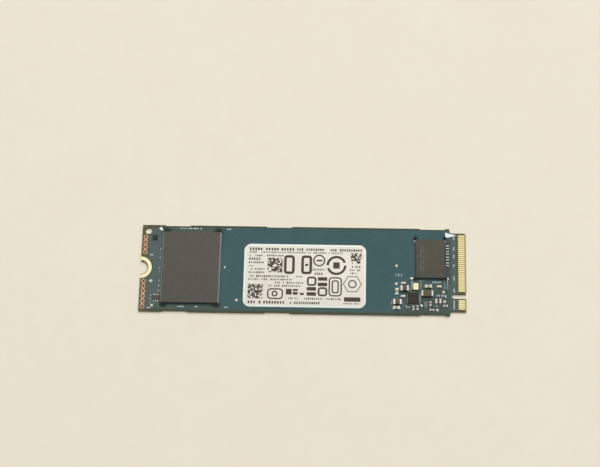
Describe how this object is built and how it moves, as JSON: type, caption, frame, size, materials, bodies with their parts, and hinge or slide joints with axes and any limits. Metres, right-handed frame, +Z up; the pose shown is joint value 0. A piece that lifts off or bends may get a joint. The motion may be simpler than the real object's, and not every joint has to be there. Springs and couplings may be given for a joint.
{
  "type": "solid state drive card",
  "caption": "Flat solid state drive card with a keyed gold edge connector at one end, a half-round screw notch at the other, and chip packages and a paper label on top.",
  "frame": {"origin": "centre of the card's outline on its underside", "axes": "+X along the card from the screw notch to the edge connector, +Y across it, +Z up out of the side that carries the chips"},
  "size_m": [0.08, 0.022, 0.002],
  "materials": {
    "solder_mask": "dark teal solder mask over glass-epoxy laminate",
    "gold": "gold plating",
    "copper": "bare copper with a clear finish",
    "tin": "matt tin plating",
    "solder": "bright reflowed solder",
    "mould": "matt dark moulding compound",
    "substrate": "laminate package substrate",
    "bond": "dark glossy adhesive",
    "label": "off-white printed label",
    "capacitor_ceramic": "brown fired ceramic",
    "resistor_ceramic": "white alumina",
    "resistor_coat": "black glass coat",
    "inductor_core": "pressed metal powder",
    "crystal_ceramic": "dark ceramic package",
    "diode_mould": "grey moulding compound",
    "silicon": "dark coated chip back"
  },
  "bodies": {
    "root": {"circuit_board": "solder_mask", "edge_contacts_top": "gold", "edge_contacts_bottom": "gold", "board_notch_plating": "gold", "ground_holes": "copper", "test_pads": "tin", "flash_mould": "mould", "flash_substrate": "substrate", "flash_solder_balls": "solder", "flash_corner_bonds": "bond", "controller_mould": "mould", "controller_substrate": "substrate", "controller_solder_balls": "solder", "controller_corner_bonds": "bond", "product_label": "label", "capacitors_0201_bodies": "capacitor_ceramic", "capacitors_0201_ends": "tin", "capacitors_0402_bodies": "capacitor_ceramic", "capacitors_0402_ends": "tin", "capacitors_0603_bodies": "capacitor_ceramic", "capacitors_0603_ends": "tin", "capacitors_0805_bodies": "capacitor_ceramic", "capacitors_0805_ends": "tin", "resistors_0402_bodies": "resistor_ceramic", "resistors_0402_ends": "tin", "resistors_0402_coats": "resistor_coat", "solder_fillets": "solder", "inductor_core": "inductor_core", "inductor_terminals": "tin", "power_chip_body": "mould", "power_chip_leads": "tin", "crystal_base": "crystal_ceramic", "crystal_lid": "gold", "diode_body": "diode_mould", "diode_pads": "tin", "switch_body": "mould", "switch_leads": "tin", "sensor_chip": "silicon", "sensor_solder_balls": "solder"}
  },
  "joints": []
}
